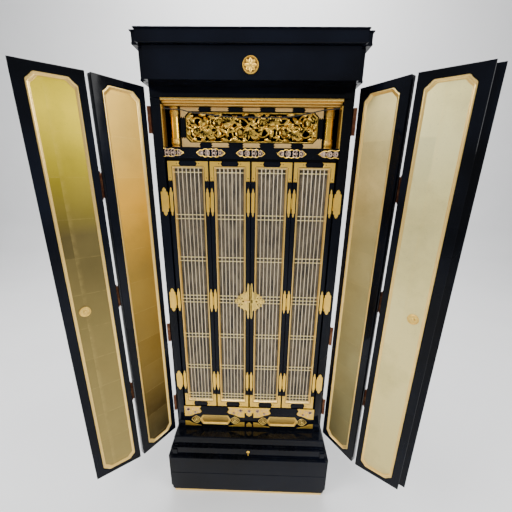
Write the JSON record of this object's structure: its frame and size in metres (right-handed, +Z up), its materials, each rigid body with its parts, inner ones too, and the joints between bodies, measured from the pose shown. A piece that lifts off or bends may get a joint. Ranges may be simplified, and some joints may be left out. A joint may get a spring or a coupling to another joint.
{
  "type": "household altar cabinet",
  "caption": "Tall black-lacquer and gold-leaf altar cabinet with folding outer doors, lattice inner doors, carved transom and a shallow drawer in a moulded base.",
  "frame": {"origin": "on the floor, below the middle of the cabinet's extent with its outer doors standing open", "axes": "+Z up, -Y out of the front towards the viewer, +X to the viewer's right"},
  "size_m": [1.0715, 0.6461, 1.6535],
  "materials": {
    "black_lacquer": "wood under deep gloss black lacquer",
    "gold_leaf": "wood under aged gold leaf",
    "gilt_metal": "gilded, engraved sheet metal",
    "bronze_hinge": "browned metal, satin",
    "gauze": "sheer woven gauze",
    "cord_fibre": "dull twisted cord"
  },
  "bodies": {
    "cabinet": {"gilt_foot_band": "gold_leaf", "plinth": "black_lacquer", "drawer_case": "black_lacquer", "base_slab": "black_lacquer", "sill": "black_lacquer", "lower_panel": "black_lacquer", "back_panel": "black_lacquer", "floor_board": "black_lacquer", "ceiling_board": "black_lacquer", "lintel": "black_lacquer", "frieze": "black_lacquer", "crown": "black_lacquer", "frieze_medallion": "gilt_metal", "gilt_cove": "gold_leaf", "transom_frame": "black_lacquer", "transom_carving": "gold_leaf", "rail": "black_lacquer", "rail_mount_left_end": "gilt_metal", "rail_mount_left": "gilt_metal", "rail_mount_middle": "gilt_metal", "rail_mount_right": "gilt_metal", "rail_mount_right_end": "gilt_metal", "post_left": "black_lacquer", "post_right": "black_lacquer", "side_panel_left": "black_lacquer", "side_panel_right": "black_lacquer", "gilt_reveal_left": "gold_leaf", "gilt_reveal_right": "gold_leaf", "transom_column_left": "gold_leaf", "transom_column_right": "gold_leaf", "door_bracket_left_1": "bronze_hinge", "door_bracket_left_2": "bronze_hinge", "door_bracket_left_3": "bronze_hinge", "door_bracket_right_1": "bronze_hinge", "door_bracket_right_2": "bronze_hinge", "door_bracket_right_3": "bronze_hinge", "cord_hook_left": "gilt_metal", "cord_hook_right": "gilt_metal", "cord": "cord_fibre"},
    "drawer_box": {"drawer": "black_lacquer", "drawer_pull": "gilt_metal"},
    "outer_left_near": {"outer_door_left_inboard": "black_lacquer"},
    "outer_left_far": {"outer_door_left_outboard": "black_lacquer", "ring_pull_left": "gilt_metal"},
    "outer_right_near": {"outer_door_right_inboard": "black_lacquer"},
    "outer_right_far": {"outer_door_right_outboard": "black_lacquer", "ring_pull_right": "gilt_metal", "closing_lip": "black_lacquer"},
    "inner_leaf_1": {"inner_door_1": "black_lacquer", "gauze_1": "gauze"},
    "inner_leaf_2": {"inner_door_2": "black_lacquer", "gauze_2": "gauze", "latch_plate_left": "gilt_metal"},
    "inner_leaf_3": {"inner_door_3": "black_lacquer", "gauze_3": "gauze", "latch_plate_right": "gilt_metal", "latch_staple_right": "gilt_metal"},
    "inner_leaf_4": {"inner_door_4": "black_lacquer", "gauze_4": "gauze"},
    "bolt": {"latch_bolt": "gilt_metal"}
  },
  "joints": [
    {"name": "outer_left_swing", "type": "hinge", "parent": "cabinet", "child": "outer_left_near", "pos_m": [-0.303, -0.112, 0.911], "axis": [0, 0, -1], "range_deg": [-126, 36]},
    {"name": "outer_left_fold", "type": "hinge", "parent": "outer_left_near", "child": "outer_left_far", "pos_m": [-0.40971, -0.21889, 0.911], "axis": [0, 0, -1], "range_deg": [-17.9, 142]},
    {"name": "outer_right_swing", "type": "hinge", "parent": "cabinet", "child": "outer_right_near", "pos_m": [0.303, -0.112, 0.911], "axis": [0, 0, 1], "range_deg": [-125.2, 36]},
    {"name": "outer_right_fold", "type": "hinge", "parent": "outer_right_near", "child": "outer_right_far", "pos_m": [0.4082, -0.22037, 0.911], "axis": [0, 0, 1], "range_deg": [-20.3, 140]},
    {"name": "inner_left_swing", "type": "hinge", "parent": "cabinet", "child": "inner_leaf_1", "pos_m": [-0.2628, -0.1095, 0.871], "axis": [0, 0, -1], "range_deg": [0, 80]},
    {"name": "inner_left_fold", "type": "hinge", "parent": "inner_leaf_1", "child": "inner_leaf_2", "pos_m": [-0.13, -0.1095, 0.871], "axis": [0, 0, -1], "range_deg": [0, 165]},
    {"name": "inner_right_swing", "type": "hinge", "parent": "cabinet", "child": "inner_leaf_4", "pos_m": [0.2628, -0.1095, 0.871], "axis": [0, 0, 1], "range_deg": [0, 80]},
    {"name": "inner_right_fold", "type": "hinge", "parent": "inner_leaf_4", "child": "inner_leaf_3", "pos_m": [0.13, -0.1095, 0.871], "axis": [0, 0, 1], "range_deg": [0, 165]},
    {"name": "drawer_slide", "type": "slide", "parent": "cabinet", "child": "drawer_box", "axis": [0, -1, 0], "range_m": [0, 0.28]},
    {"name": "latch_slide", "type": "slide", "parent": "inner_leaf_2", "child": "bolt", "axis": [1, 0, 0], "range_m": [0, 0.0065]}
  ]
}
